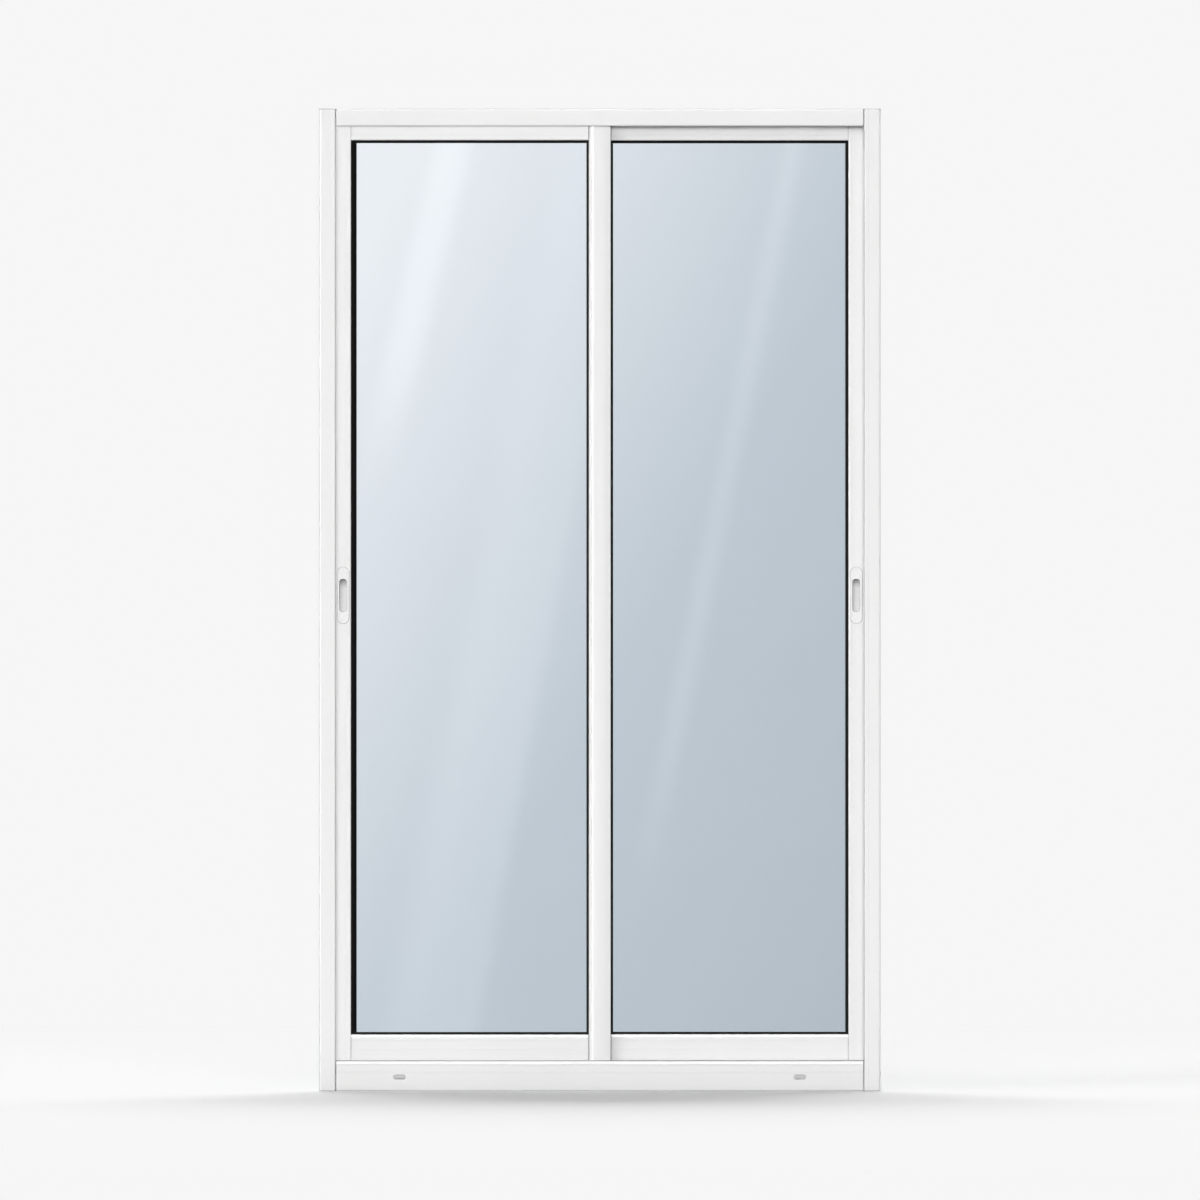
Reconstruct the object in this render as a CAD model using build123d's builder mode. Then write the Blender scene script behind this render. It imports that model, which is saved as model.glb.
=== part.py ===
from build123d import *
import os

os.makedirs("parts", exist_ok=True)

# Two-leaf sliding door in white extruded aluminium with sealed double glazing.
# The left leaf runs on the front track and the right leaf on the rear track, so either one
# slides behind or before the other. X runs along the door, Y from front to back, Z up. The
# origin is the middle of the sill's underside. All sizes are in millimetres.

# Fixed frame
frame_width = 1200.0
frame_height = 2100.0
frame_depth = 90.0
frame_wall = 1.6
jamb_face = 35.0
bulb_width = 8.0
head_face = 37.0
sill_face = 66.0
sill_floor = 42.0
lip_reach = 5.0
jamb_lip_length = 9.0
head_return = 16.0
sill_return = 10.0
edge_round = 3.0
lip_round = 1.5
nose_height = 9.5
nose_round = 8.0
joint_gap = 0.8

# Tracks on the sill
track_height = 16.0
track_web = 2.4
bead_radius = 3.0

# Screw ports in the head and the sill
port_bore = 2.1
port_wall = 1.5
port_mouth = 3.0
port_offset = 10.0

# Holes for the screws into the wall, and drainage
fixing_radius = 3.25
fixing_end = 300.0
weep_length = 24.0
weep_height = 8.0
weep_inset = 172.0
weep_level = 30.0
drain_width = 5.0
drain_offset = 11.5
weep_cover_clearance = 0.2
weep_cover_recess = 0.6
weep_cover_flange = 1.5
weep_slit_length = 15.0
weep_slit_height = 1.6

# Leaves
leaf_wall = 1.5
running_clearance = 5.0
jamb_bite = 15.0
head_bite = 16.0
leaf_lift = 5.0
meeting_overlap = 47.0
outer_stile_width = 48.0
meeting_stile_width = 47.0
top_rail_height = 46.0
bottom_rail_height = 74.3
stile_groove = 6.0
wheel_bay_web = 30.0
opening_setback = 8.0

# Glazing rebate round each leaf
sight_round = 0.8
slope_height = 6.0
slope_depth = 2.0
slope_round = 12.0
lip_width = 5.5
lip_step = 0.5
lip_wall = 1.4
crown_drop = 2.0
pocket_depth = 11.0
heel_extra = 1.3
cope_clearance = 0.4

# Sealed glazing unit, its gaskets and setting blocks
pane_thickness = 4.0
gasket_thickness = 1.8
glass_bite = 7.0
gasket_sight = 5.0
gasket_bite = 5.0
gasket_crest = 0.7
spacer_sight_outer_left = 12.2
spacer_sight_outer_right = 6.9
spacer_sight_top = 6.2
spacer_sight_hidden = 4.0
setting_block_length = 80.0

# Pile seals and the slots that hold them
slot_neck_width = 3.2
slot_neck_depth = 0.8
slot_pocket_width = 5.4
slot_pocket_depth = 1.4
slot_boss_wall = 1.2
pile_base_width = 5.0
pile_brush_width = 2.6
pile_gap = 0.5
pile_base_play = 0.2

# Interlock between the leaves
interlock_wall = 1.5
interlock_lip_gap = 2.0
interlock_overlap = 3.0
interlock_leg_inset = 5.0
interlock_base = 4.5
interlock_pile_inset = 28.5

# Flush pulls
pull_height = 1060.0
pull_plate_length = 122.0
pull_plate_width = 26.6
pull_plate_thickness = 1.5
pull_edge_slope = 30.0
pull_from_sight = 16.6
recess_length = 69.0
recess_width = 15.2
recess_corner = 6.6
recess_rim_bevel = 0.9
cup_wall = 1.2
cup_spacing = 2.6
cutout_clearance = 0.3

# Wheels and their carriages
wheel_radius = 14.0
wheel_root = 11.0
wheel_side_play = 0.6
groove_root_half = 1.6
wheel_clearance = 0.3
axle_radius = 2.5
carriage_length = 70.0
carriage_side_play = 0.6
carriage_cheek = 2.2
carriage_below_axle = 5.5
wheel_slot_length = 33.0
wheel_slot_roof = 3.0
carriage_inset = 85.0

# Guides at the top of the leaves, closing buffers and opening stops
guide_play = 0.4
guide_cap = 3.0
guide_cheek = 13.0
guide_length = 24.0
guide_inset = 18.0
buffer_width = 12.0
buffer_height = 40.0
buffer_gap = 0.5
buffer_bevel = 2.0
buffer_from_end = 200.0
stop_length = 18.0
stop_drop = 29.0
stop_width = 12.0

# Values worked out from the sizes above
nose_rise = (lip_reach * (2 * nose_round - lip_reach)) ** 0.5
leaf_gap = bulb_width + 2 * running_clearance
leaf_thickness = (frame_depth - bulb_width) / 2 - lip_reach - 2 * running_clearance
track_y = (leaf_gap + leaf_thickness) / 2
leaf_left = -frame_width / 2 + jamb_face - jamb_bite
leaf_right = meeting_overlap / 2
leaf_bottom = sill_floor + leaf_lift
leaf_top = frame_height - head_face + head_bite
leaf_height = leaf_top - leaf_bottom
sight_left = leaf_left + outer_stile_width
sight_right = leaf_right - meeting_stile_width
sight_bottom = leaf_bottom + bottom_rail_height
sight_top = leaf_top - top_rail_height
lip_face = leaf_thickness / 2 - crown_drop - lip_step
lip_inside = lip_face - lip_wall
unit_half = lip_inside - gasket_thickness
pane_gap = 2 * (unit_half - pane_thickness)
leaf_travel = frame_width / 2 - jamb_face - opening_setback - leaf_right
weep_offset = frame_width / 2 - weep_inset
track_top = sill_floor + track_height
slot_depth = slot_neck_depth + slot_pocket_depth
leaf_y = -track_y
half_leaf = leaf_thickness / 2
clear_bottom = sill_face + running_clearance
clear_top = frame_height - head_face - running_clearance
LEFT, RIGHT = 1, -1


def floor_plane(hand):
    """The ground plane of one side of the door: the right side is the left one turned half round."""
    return Plane(origin=(0, 0, 0), x_dir=(hand, 0, 0), z_dir=(0, 0, 1))


def section_plane(hand, x):
    """An upright plane across the door at x, seen along the door: its X is depth and its Y is height."""
    base = floor_plane(hand)
    return Plane(origin=base.from_local_coords((x, 0, 0)), x_dir=base.y_dir, z_dir=base.x_dir)


def face_plane(hand, x, y, z, side):
    """An upright plane facing the front (side -1) or the back (side 1) of one leaf."""
    base = floor_plane(hand)
    origin = base.from_local_coords((x, y, z))
    return Plane(origin=origin, x_dir=base.x_dir * -side, z_dir=base.y_dir * side)


def save(piece, name):
    """Labels a finished piece and writes it to its own file."""
    piece.label = name
    export_step(piece, f"parts/{name}.step")


def cut_pile_slot():
    """A T-shaped slot, sunk along local +Y from the face at the current location."""
    Rectangle(slot_neck_width, slot_neck_depth, align=(Align.CENTER, Align.MIN), mode=Mode.SUBTRACT)
    with Locations((0, slot_neck_depth)):
        Rectangle(
            slot_pocket_width, slot_pocket_depth, align=(Align.CENTER, Align.MIN), mode=Mode.SUBTRACT
        )


def draw_pile(reach):
    """The backing and the brush of a pile seal that lies in a slot and stands reach out of its face."""
    with Locations((0, slot_neck_depth + pile_base_play)):
        Rectangle(
            pile_base_width, slot_pocket_depth - pile_base_play, align=(Align.CENTER, Align.MIN)
        )
    with Locations((0, -reach)):
        Rectangle(
            pile_brush_width,
            reach + slot_neck_depth + pile_base_play,
            align=(Align.CENTER, Align.MIN),
        )


def draw_screw_port():
    """An open C-shaped port that a corner screw cuts its thread in, hanging from local y 0."""
    centre = port_bore + port_wall / 2
    with Locations((0, -centre)):
        Circle(port_bore + port_wall)
        Circle(port_bore, mode=Mode.SUBTRACT)
        Rectangle(
            port_mouth, 2 * (port_bore + port_wall), align=(Align.CENTER, Align.MAX), mode=Mode.SUBTRACT
        )


# Jambs: each runs the full height, with a channel for either leaf and a slotted lip on each fin
jamb_tip = -frame_width / 2 + jamb_face
jamb_slot_x = jamb_tip - jamb_lip_length / 2


def make_jamb(hand):
    with BuildPart() as jamb:
        with BuildSketch(floor_plane(hand)) as section:
            with Locations((-frame_width / 2, 0)):
                Rectangle(frame_wall, frame_depth, align=(Align.MIN, Align.CENTER))
            fin_shift = (frame_depth - frame_wall) / 2
            with Locations(
                (-frame_width / 2, -fin_shift), (-frame_width / 2, 0), (-frame_width / 2, fin_shift)
            ):
                Rectangle(jamb_face, frame_wall, align=(Align.MIN, Align.CENTER))
            lip_shift = (frame_depth - lip_reach) / 2
            with Locations((jamb_tip, -lip_shift), (jamb_tip, lip_shift)):
                Rectangle(jamb_lip_length, lip_reach, align=(Align.MAX, Align.CENTER))
            with Locations((jamb_tip, 0)):
                Rectangle(jamb_lip_length, bulb_width, align=(Align.MAX, Align.CENTER))
            outer_face = frame_depth / 2 - lip_reach
            with Locations(
                Location((jamb_slot_x, -outer_face), 180),
                Location((jamb_slot_x, outer_face), 0),
                Location((jamb_slot_x, -bulb_width / 2), 0),
                Location((jamb_slot_x, bulb_width / 2), 180),
            ):
                cut_pile_slot()
            face_edges = section.vertices().filter_by(
                lambda corner: abs(abs(corner.Y) - frame_depth / 2) < frame_wall / 4
            )
            fillet(face_edges.group_by(Axis.X)[0], edge_round)
            fillet(face_edges.group_by(Axis.X)[-1], lip_round)
        extrude(amount=frame_height)
        with BuildSketch(section_plane(hand, -frame_width / 2)):
            levels = (fixing_end, frame_height / 2, frame_height - fixing_end)
            with Locations(*[(side * track_y, level) for side in (-1, 1) for level in levels]):
                Circle(fixing_radius)
        extrude(amount=frame_wall, mode=Mode.SUBTRACT)
    return jamb.part


save(make_jamb(LEFT), "left_jamb")
save(make_jamb(RIGHT), "right_jamb")


def cope_ends(height_from, height_to):
    """Cuts back the fins of the head or sill so that the jambs' fins and lips pass them."""
    strips = (
        (-frame_depth, -frame_depth / 2 + lip_reach + joint_gap),
        (-bulb_width / 2 - joint_gap, bulb_width / 2 + joint_gap),
        (frame_depth / 2 - lip_reach - joint_gap, frame_depth),
    )
    for hand in (LEFT, RIGHT):
        with BuildSketch(section_plane(hand, -frame_width / 2)) as cope:
            for start, end in strips:
                with Locations(((start + end) / 2, (height_from + height_to) / 2)):
                    Rectangle(end - start, height_to - height_from)
        extrude(cope.sketch, amount=jamb_face + joint_gap, mode=Mode.SUBTRACT)


# Head: a web with three hooked fins, which hide the tops of the leaves
rail_start = -frame_width / 2 + frame_wall
rail_length = frame_width - 2 * frame_wall
head_bottom = frame_height - head_face
fin_places = (-(frame_depth - frame_wall) / 2, 0, (frame_depth - frame_wall) / 2)

with BuildPart() as head:
    with BuildSketch(section_plane(LEFT, rail_start)) as head_section:
        with Locations((0, frame_height)):
            Rectangle(frame_depth, frame_wall, align=(Align.CENTER, Align.MAX))
        with Locations(*[(y, frame_height) for y in fin_places]):
            Rectangle(frame_wall, head_face, align=(Align.CENTER, Align.MAX))
        hook_edge = frame_depth / 2 - lip_reach
        hook_middle = hook_edge + lip_reach / 2
        with Locations((-hook_middle, head_bottom), (hook_middle, head_bottom)):
            Rectangle(lip_reach, frame_wall, align=(Align.CENTER, Align.MIN))
        with Locations((0, head_bottom)):
            Rectangle(bulb_width, frame_wall, align=(Align.CENTER, Align.MIN))
        hook_shift = (bulb_width - frame_wall) / 2
        with Locations(
            (-hook_edge - frame_wall / 2, head_bottom),
            (-hook_shift, head_bottom),
            (hook_shift, head_bottom),
            (hook_edge + frame_wall / 2, head_bottom),
        ):
            Rectangle(frame_wall, head_return, align=(Align.CENTER, Align.MIN))
        port_y = track_y - port_offset
        with Locations((-port_y, frame_height - frame_wall), (port_y, frame_height - frame_wall)):
            draw_screw_port()
        head_edges = head_section.vertices().filter_by(
            lambda corner: abs(abs(corner.X) - frame_depth / 2) < frame_wall / 4
        )
        fillet(head_edges, edge_round)
    extrude(amount=rail_length)
    cope_ends(head_bottom, frame_height)
save(head.part, "head")


# Sill: a drained chamber that carries both tracks, with an upstand at the front, middle and back
with BuildPart() as sill:
    with BuildSketch(section_plane(LEFT, rail_start)) as sill_section:
        Rectangle(frame_depth, sill_floor, align=(Align.CENTER, Align.MIN))
        side_cell = frame_depth / 2 - track_y - 1.5 * frame_wall
        middle_cell = 2 * track_y - frame_wall
        cell_height = sill_floor - 2 * frame_wall
        side_cell_y = track_y + frame_wall / 2 + side_cell / 2
        with Locations((-side_cell_y, frame_wall), (side_cell_y, frame_wall)):
            Rectangle(side_cell, cell_height, align=(Align.CENTER, Align.MIN), mode=Mode.SUBTRACT)
        with Locations((0, frame_wall)):
            Rectangle(middle_cell, cell_height, align=(Align.CENTER, Align.MIN), mode=Mode.SUBTRACT)
        fin_height = sill_face - sill_floor - nose_height + frame_wall
        with Locations((fin_places[0], sill_floor), (fin_places[-1], sill_floor)):
            Rectangle(frame_wall, fin_height, align=(Align.CENTER, Align.MIN))
        with Locations((0, sill_floor)):
            Rectangle(frame_wall, sill_face - sill_floor, align=(Align.CENTER, Align.MIN))
        for side in (-1, 1):
            with BuildLine():
                Polyline(
                    (side * frame_depth / 2, sill_face - nose_rise),
                    (side * frame_depth / 2, sill_face - nose_height),
                    (side * hook_edge, sill_face - nose_height),
                    (side * hook_edge, sill_face),
                )
                RadiusArc(
                    (side * frame_depth / 2, sill_face - nose_rise),
                    (side * hook_edge, sill_face),
                    -side * nose_round,
                )
            make_face()
        with Locations((0, sill_face)):
            Rectangle(bulb_width, frame_wall, align=(Align.CENTER, Align.MAX))
        with Locations(
            (-hook_edge - frame_wall / 2, sill_face),
            (-hook_shift, sill_face),
            (hook_shift, sill_face),
            (hook_edge + frame_wall / 2, sill_face),
        ):
            Rectangle(frame_wall, sill_return, align=(Align.CENTER, Align.MAX))
        with Locations((-track_y, sill_floor), (track_y, sill_floor)):
            Rectangle(track_web, track_height - bead_radius, align=(Align.CENTER, Align.MIN))
        with Locations((-track_y, track_top - bead_radius), (track_y, track_top - bead_radius)):
            Circle(bead_radius)
        with Locations((-port_y, sill_floor - frame_wall), (port_y, sill_floor - frame_wall)):
            draw_screw_port()
        foot_edges = sill_section.vertices().filter_by(
            lambda corner: abs(corner.Y) < frame_wall / 4
            and abs(abs(corner.X) - frame_depth / 2) < frame_wall / 4
        )
        fillet(foot_edges, edge_round)
    extrude(amount=rail_length)
    cope_ends(0, sill_face)
    with BuildSketch(Plane.XZ.offset(frame_depth / 2)):
        with Locations((-weep_offset, weep_level), (weep_offset, weep_level)):
            SlotOverall(weep_length, weep_height)
    extrude(amount=-frame_wall, mode=Mode.SUBTRACT)
    with BuildSketch(Plane.XY.offset(sill_floor)):
        drain_y = track_y + drain_offset
        with Locations(*[(x, y) for x in (-weep_offset, weep_offset) for y in (-drain_y, drain_y)]):
            SlotOverall(weep_length, drain_width)
    extrude(amount=-frame_wall, mode=Mode.SUBTRACT)
save(sill.part, "sill")


# Weep covers: slit plastic inserts in the two drainage slots
def make_weep_cover(x):
    wall_back = frame_depth / 2 - frame_wall
    with BuildPart() as cover:
        with BuildSketch(Plane.XZ.offset(frame_depth / 2 - weep_cover_recess)):
            with Locations((x, weep_level)):
                SlotOverall(
                    weep_length - 2 * weep_cover_clearance, weep_height - 2 * weep_cover_clearance
                )
        extrude(amount=weep_cover_recess - frame_wall)
        with BuildSketch(Plane.XZ.offset(wall_back)):
            with Locations((x, weep_level)):
                Rectangle(weep_length + 2 * weep_cover_flange, weep_height + 2 * weep_cover_flange)
        extrude(amount=-weep_cover_flange)
        with BuildSketch(Plane.XZ.offset(frame_depth / 2)):
            with Locations((x, weep_level - weep_height / 4)):
                Rectangle(weep_slit_length, weep_slit_height)
        extrude(amount=-frame_wall - weep_cover_flange, mode=Mode.SUBTRACT)
    return cover.part


save(make_weep_cover(-weep_offset), "left_weep_cover")
save(make_weep_cover(weep_offset), "right_weep_cover")


# Pile seals in the jamb that a leaf closes into
def make_jamb_pile(hand):
    with BuildPart() as pile:
        with BuildSketch(floor_plane(hand).offset(sill_face)):
            with Locations(
                Location((jamb_slot_x, -frame_depth / 2 + lip_reach), 180),
                Location((jamb_slot_x, -bulb_width / 2), 0),
            ):
                draw_pile(running_clearance - pile_gap)
        extrude(amount=frame_height - head_face - sill_face)
    return pile.part


# Rubber buffers on the jamb's web, which the closing leaf's grooved edge comes up to
def make_jamb_buffers(hand):
    web_face = -frame_width / 2 + frame_wall
    reach = leaf_left + stile_groove - buffer_gap - web_face
    with BuildPart() as buffers:
        with BuildSketch(section_plane(hand, web_face)):
            with Locations((leaf_y, buffer_from_end), (leaf_y, frame_height - buffer_from_end)):
                Rectangle(buffer_width, buffer_height)
        extrude(amount=reach)
        nose = buffers.faces().group_by(Axis((0, 0, 0), (hand, 0, 0)))[-1]
        chamfer(nose.edges(), buffer_bevel)
    return buffers.part


for hand, side_name in ((LEFT, "left"), (RIGHT, "right")):
    save(make_jamb_pile(hand), f"{side_name}_jamb_pile")
    save(make_jamb_buffers(hand), f"{side_name}_jamb_buffers")


# Stops in the head, where each leaf's guide ends its travel
def make_open_stop(hand):
    stop_start = leaf_right + leaf_travel + buffer_gap
    with BuildPart() as stop:
        with BuildSketch(section_plane(hand, stop_start)):
            with Locations((leaf_y, frame_height - frame_wall)):
                Rectangle(stop_width, stop_drop, align=(Align.CENTER, Align.MAX))
        extrude(amount=stop_length)
    return stop.part


save(make_open_stop(LEFT), "front_open_stop")
save(make_open_stop(RIGHT), "rear_open_stop")


# Leaf extrusions. In each section local X is the thickness and local Y runs outward from the
# sight line, where the glass begins to show
def cut_hollow(half_width, start, end):
    """A hollow across the section between two distances from the sight line."""
    with Locations((0, start)):
        Rectangle(2 * half_width, end - start, align=(Align.CENTER, Align.MIN), mode=Mode.SUBTRACT)


def cut_rebate(half_width):
    """The rebate that takes the edge of the glazing unit, wider behind the two lips."""
    cut_hollow(lip_inside, 0, pocket_depth)
    cut_hollow(half_width, lip_width + heel_extra, pocket_depth)


def add_pile_slot(side, distance):
    """A pile slot in one face, with the boss behind it."""
    with Locations(Location((side * half_leaf, distance), 90 * side)):
        Rectangle(
            slot_pocket_width + 2 * slot_boss_wall,
            slot_depth + slot_boss_wall,
            align=(Align.CENTER, Align.MIN),
        )
        cut_pile_slot()


wall_inside = half_leaf - leaf_wall
crown_edge = half_leaf - crown_drop
crown_inside = crown_edge - leaf_wall
groove_start = outer_stile_width - stile_groove
top_pile_distance = top_rail_height - head_bite / 2
bottom_pile_level = sill_face - sill_return / 2
bottom_pile_distance = sight_bottom - bottom_pile_level
meeting_pile_x = leaf_right - interlock_pile_inset
meeting_pile_distance = meeting_pile_x - sight_right
wheel_bay_top = sight_bottom - wheel_bay_web - leaf_wall

with BuildSketch() as outer_stile_section:
    Rectangle(leaf_thickness, outer_stile_width, align=(Align.CENTER, Align.MIN))
    fillet(outer_stile_section.vertices().group_by(Axis.Y)[0], sight_round)
    cut_rebate(wall_inside)
    cut_hollow(wall_inside, pocket_depth + leaf_wall, groove_start - leaf_wall)
    cut_hollow(wall_inside, groove_start, outer_stile_width)

with BuildSketch() as meeting_stile_section:
    with BuildLine():
        Polyline(
            (crown_edge, lip_width),
            (lip_face, lip_width),
            (lip_face, 0),
            (-lip_face, 0),
            (-lip_face, lip_width),
            (-half_leaf, lip_width),
            (-half_leaf, meeting_stile_width),
            (crown_edge, meeting_stile_width),
        )
        ThreePointArc(
            (crown_edge, meeting_stile_width),
            (half_leaf, (lip_width + meeting_stile_width) / 2),
            (crown_edge, lip_width),
        )
    make_face()
    cut_rebate(crown_inside)
    cut_hollow(crown_inside, pocket_depth + leaf_wall, meeting_stile_width - leaf_wall)
    add_pile_slot(-1, meeting_pile_distance)

with BuildSketch() as top_rail_section:
    Rectangle(leaf_thickness, top_rail_height, align=(Align.CENTER, Align.MIN))
    fillet(top_rail_section.vertices().group_by(Axis.Y)[0], sight_round)
    cut_rebate(wall_inside)
    cut_hollow(wall_inside, pocket_depth + leaf_wall, top_rail_height - leaf_wall)
    add_pile_slot(-1, top_pile_distance)
    add_pile_slot(1, top_pile_distance)

with BuildSketch() as bottom_rail_section:
    with BuildLine():
        Polyline(
            (half_leaf - slope_depth, 0),
            (half_leaf, slope_height),
            (half_leaf, bottom_rail_height),
            (-half_leaf, bottom_rail_height),
            (-half_leaf, slope_height),
            (slope_depth - half_leaf, 0),
            close=True,
        )
    make_face()
    fillet(bottom_rail_section.vertices().group_by(Axis.Y)[1], slope_round)
    cut_rebate(wall_inside)
    cut_hollow(wall_inside, pocket_depth + leaf_wall, wheel_bay_web)
    cut_hollow(wall_inside, wheel_bay_web + leaf_wall, bottom_rail_height)
    add_pile_slot(-1, bottom_pile_distance)
    add_pile_slot(1, bottom_pile_distance)

cup_width = recess_width + 2 * cup_wall
cup_length = recess_length + 2 * cup_wall
recess_depth = half_leaf + pull_plate_thickness - cup_wall - cup_spacing / 2
pull_x = sight_left - pull_from_sight
track_slot_width = 2 * (bead_radius + running_clearance)
track_slot_height = track_top + running_clearance - leaf_bottom


def cut_track_slot(hand):
    """Opens the foot of a stile so that it passes over the track."""
    with BuildSketch(floor_plane(hand).offset(leaf_bottom)) as slot:
        with Locations(((leaf_left + leaf_right) / 2, leaf_y)):
            Rectangle(leaf_right - leaf_left, track_slot_width)
    extrude(slot.sketch, amount=track_slot_height, mode=Mode.SUBTRACT)


def make_outer_stile(hand):
    with BuildPart() as stile:
        with BuildSketch(floor_plane(hand).offset(leaf_bottom)):
            with Locations(Location((sight_left, leaf_y), 90)):
                add(outer_stile_section.sketch)
        extrude(amount=leaf_height)
        cut_track_slot(hand)
        with BuildSketch(face_plane(hand, pull_x, leaf_y, pull_height, -1)):
            Rectangle(cup_width + 2 * cutout_clearance, cup_length + 2 * cutout_clearance)
        extrude(amount=half_leaf, both=True, mode=Mode.SUBTRACT)
    return stile.part


def make_meeting_stile(hand):
    with BuildPart() as stile:
        with BuildSketch(floor_plane(hand).offset(leaf_bottom)):
            with Locations(Location((sight_right, leaf_y), -90)):
                add(meeting_stile_section.sketch)
        extrude(amount=leaf_height)
        cut_track_slot(hand)
    return stile.part


# Both rails run between the stiles, and only their cores enter the stiles' rebates
core_start = sight_left - pocket_depth
core_length = sight_right - sight_left + 2 * pocket_depth


def cope_rail(hand, height_from, height_to):
    """Steps back a rail's faces at both ends."""
    core = lip_inside - cope_clearance
    strip = half_leaf - core
    for start in (core_start, sight_right):
        with BuildSketch(section_plane(hand, start)) as step:
            for side in (-1, 1):
                with Locations((leaf_y + side * (core + strip / 2), (height_from + height_to) / 2)):
                    Rectangle(strip, height_to - height_from)
        extrude(step.sketch, amount=pocket_depth, mode=Mode.SUBTRACT)


def make_top_rail(hand):
    with BuildPart() as rail:
        with BuildSketch(section_plane(hand, core_start)):
            with Locations((leaf_y, sight_top)):
                add(top_rail_section.sketch)
        extrude(amount=core_length)
        cope_rail(hand, sight_top, leaf_top)
    return rail.part


def make_bottom_rail(hand):
    with BuildPart() as rail:
        with BuildSketch(section_plane(hand, core_start)):
            with Locations(Location((leaf_y, sight_bottom), 180)):
                add(bottom_rail_section.sketch)
        extrude(amount=core_length)
        cope_rail(hand, leaf_bottom, sight_bottom)
    return rail.part


# Interlock: a hooked strip on the inner face of each meeting stile. The two lips pass each other
def make_interlock(hand):
    seat_y = leaf_y + half_leaf
    lip_y = interlock_lip_gap / 2
    leg_x = leaf_right - interlock_leg_inset
    lip_start = -interlock_overlap / 2
    with BuildPart() as interlock:
        with BuildSketch(floor_plane(hand).offset(clear_bottom)):
            with Locations((leg_x, seat_y)):
                leg_depth = lip_y + interlock_wall - seat_y
                Rectangle(interlock_wall, leg_depth, align=(Align.MIN, Align.MIN))
                Rectangle(interlock_base, interlock_wall, align=(Align.MIN, Align.MIN))
            with Locations((lip_start, lip_y)):
                lip_length = leg_x + interlock_wall - lip_start
                Rectangle(lip_length, interlock_wall, align=(Align.MIN, Align.MIN))
        extrude(amount=clear_top - clear_bottom)
    return interlock.part


# Pile seals on a leaf: along the rails' faces, and where the other leaf's interlock comes up
def make_rail_pile(hand):
    with BuildPart() as pile:
        with BuildSketch(section_plane(hand, sight_left)):
            for level in (sight_top + top_pile_distance, bottom_pile_level):
                for side in (-1, 1):
                    with Locations(Location((leaf_y + side * half_leaf, level), 90 * side)):
                        draw_pile(running_clearance - pile_gap)
        extrude(amount=sight_right - sight_left)
    return pile.part


def make_meeting_pile(hand):
    reach = leaf_gap / 2 - interlock_lip_gap / 2 - interlock_wall - pile_gap
    with BuildPart() as pile:
        with BuildSketch(floor_plane(hand).offset(clear_bottom)):
            with Locations(Location((meeting_pile_x, leaf_y + half_leaf), 180)):
                draw_pile(reach)
        extrude(amount=clear_top - clear_bottom)
    return pile.part


# Sealed glazing unit: two panes and the bar between them, which sits nearer the meeting stile
glass_width = sight_right - sight_left + 2 * glass_bite
glass_height = sight_top - sight_bottom + 2 * glass_bite
glass_x = (sight_left + sight_right) / 2
glass_z = (sight_bottom + sight_top) / 2


def make_pane(hand, side):
    with BuildPart() as pane:
        with BuildSketch(face_plane(hand, glass_x, leaf_y + side * pane_gap / 2, glass_z, side)):
            Rectangle(glass_width, glass_height)
        extrude(amount=pane_thickness)
    return pane.part


def make_spacer(hand, outer_sight):
    opening_left = sight_left + outer_sight
    opening_right = sight_right - spacer_sight_hidden
    opening_bottom = sight_bottom + spacer_sight_hidden
    opening_top = sight_top - spacer_sight_top
    opening_middle = ((opening_left + opening_right) / 2, (opening_bottom + opening_top) / 2)
    with BuildPart() as spacer:
        with BuildSketch(face_plane(hand, 0, leaf_y, 0, -1)):
            with Locations((glass_x, glass_z)):
                Rectangle(glass_width, glass_height)
            with Locations(opening_middle):
                Rectangle(
                    opening_right - opening_left, opening_top - opening_bottom, mode=Mode.SUBTRACT
                )
        extrude(amount=pane_gap / 2, both=True)
    return spacer.part


# Gasket: a wedge of rubber between the lips and a pane, mitred at the corners
def make_gasket(hand, side):
    sight_plane = face_plane(hand, glass_x, leaf_y + side * unit_half, glass_z, side)
    half_width = (sight_right - sight_left) / 2
    half_height = (sight_top - sight_bottom) / 2
    start = sight_plane.from_local_coords((0, -half_height, 0))
    across = Plane(origin=start, x_dir=sight_plane.y_dir * -1, z_dir=sight_plane.x_dir * -1)
    with BuildPart() as gasket:
        with BuildLine(sight_plane) as route:
            Polyline(
                (0, -half_height),
                (half_width, -half_height),
                (half_width, half_height),
                (-half_width, half_height),
                (-half_width, -half_height),
                close=True,
            )
        with BuildSketch(across):
            with BuildLine():
                Polyline(
                    (gasket_bite, 0),
                    (gasket_bite, gasket_thickness),
                    (0, gasket_thickness),
                    (0, gasket_thickness + gasket_crest),
                    (-gasket_sight / 4, gasket_thickness + gasket_crest),
                    (-gasket_sight, gasket_thickness / 4),
                    (-gasket_sight, 0),
                    close=True,
                )
            make_face()
        sweep(path=route.wires()[0], transition=Transition.RIGHT)
    return gasket.part


# Setting blocks, which carry the glazing unit on the bottom rail
def make_setting_blocks(hand):
    with BuildPart() as blocks:
        with BuildSketch(floor_plane(hand).offset(sight_bottom - pocket_depth)):
            quarter = glass_width / 4
            with Locations((glass_x - quarter, leaf_y), (glass_x + quarter, leaf_y)):
                Rectangle(setting_block_length, 2 * unit_half)
        extrude(amount=pocket_depth - glass_bite)
    return blocks.part


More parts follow.
